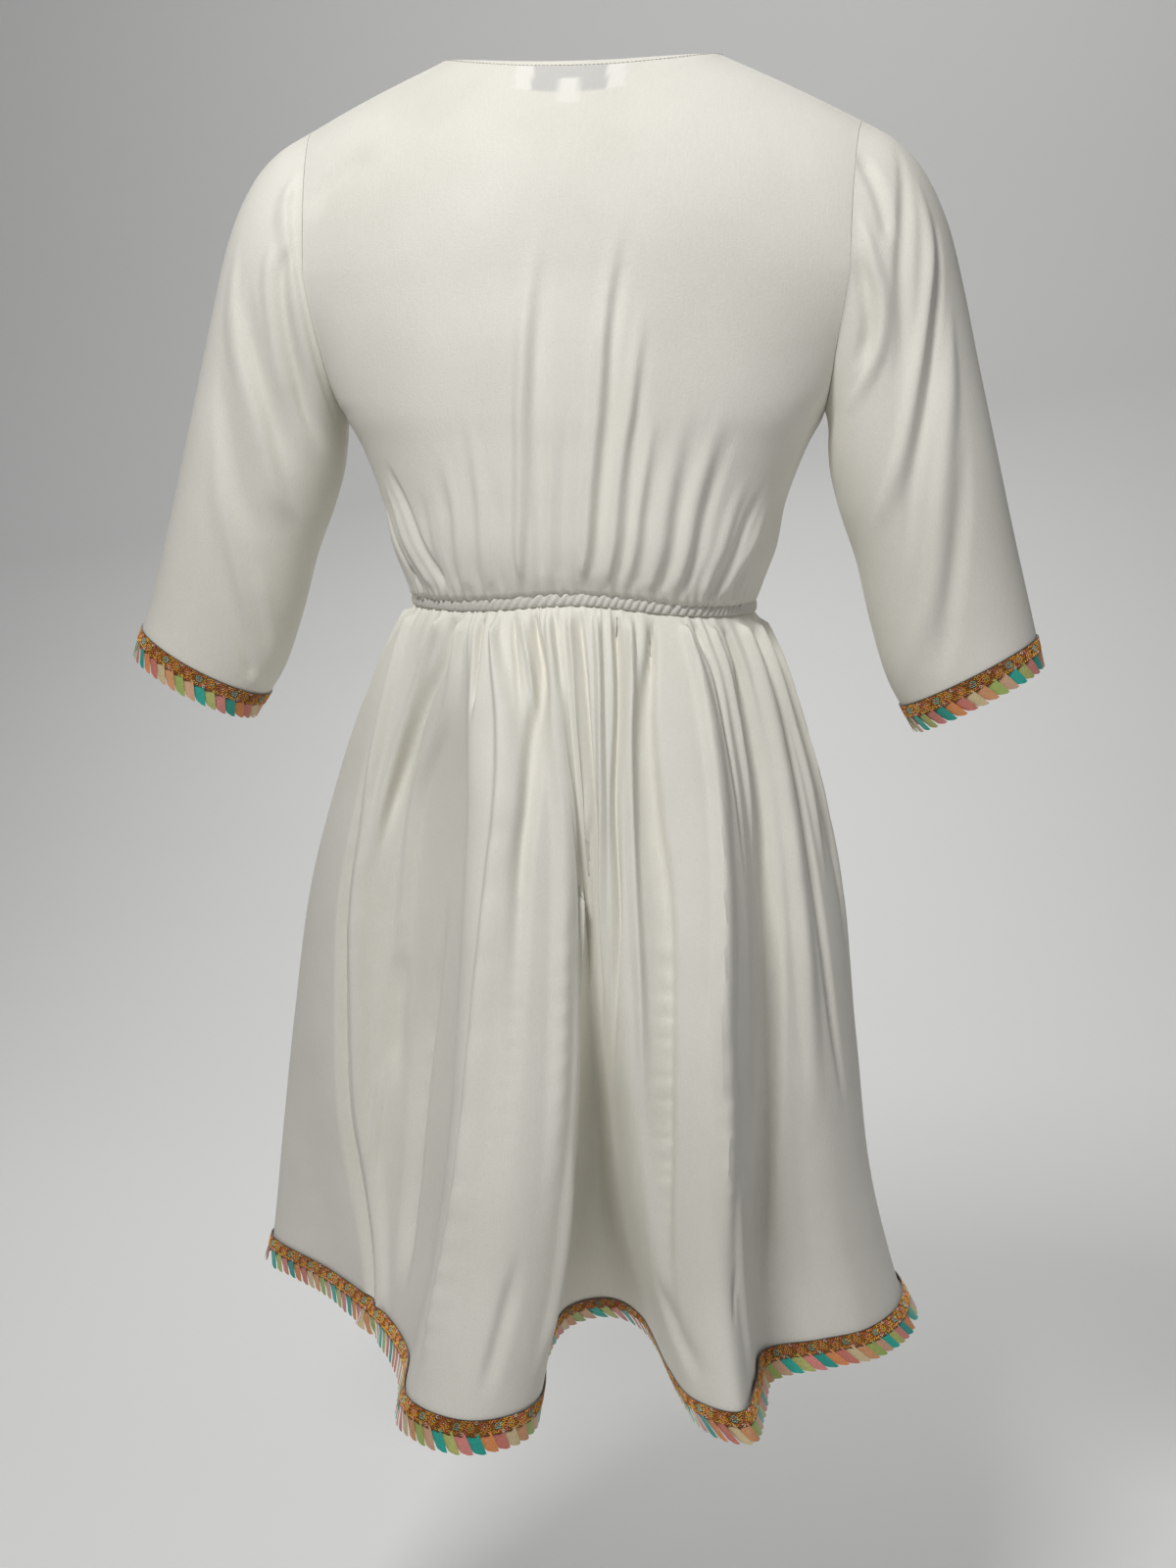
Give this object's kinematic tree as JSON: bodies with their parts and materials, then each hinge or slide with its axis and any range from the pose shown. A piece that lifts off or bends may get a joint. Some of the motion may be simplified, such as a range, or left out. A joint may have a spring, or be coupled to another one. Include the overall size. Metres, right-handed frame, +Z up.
{
  "type": "short kurti dress in its worn form",
  "caption": "Off-white short kurti with elastic waist, flared gathered skirt and three-quarter sleeves, trimmed with embroidered lace and a pleated ribbon ruffle.",
  "frame": {"origin": "midway between the two shoulder seams' neck ends, where the wearer's shoulders hold the garment up", "axes": "+Z up, from the hem towards the neck; +Y towards the garment's back; +X towards the wearer's left"},
  "size_m": [0.6791, 0.4577, 0.9033],
  "materials": {
    "crepe": "off-white crepe with a fine grain and a soft sheen",
    "elastic_casing": "the same crepe, shirred tightly over elastic",
    "lace": "embroidered lace in gold, coral and mint thread",
    "ribbon": "satin ribbon tabs in teal, yellow-green, pink, orange, cream, peach and beige",
    "neck_label": "plain grey woven label with white ends, with nothing on it",
    "size_tab": "plain white tape with nothing on it"
  },
  "bodies": {
    "root": {"bodice_back": "crepe", "bodice_front": "crepe", "neck_label": "neck_label", "size_tab": "size_tab", "sleeve_left": "crepe", "cuff_lace_left": "lace", "cuff_ruffle_left": "ribbon", "sleeve_right": "crepe", "cuff_lace_right": "lace", "cuff_ruffle_right": "ribbon", "waist_casing": "elastic_casing", "skirt_back": "crepe", "hem_lace_back": "lace", "hem_ruffle_back": "ribbon", "skirt_front": "crepe", "hem_lace_front": "lace", "hem_ruffle_front": "ribbon"}
  },
  "joints": []
}
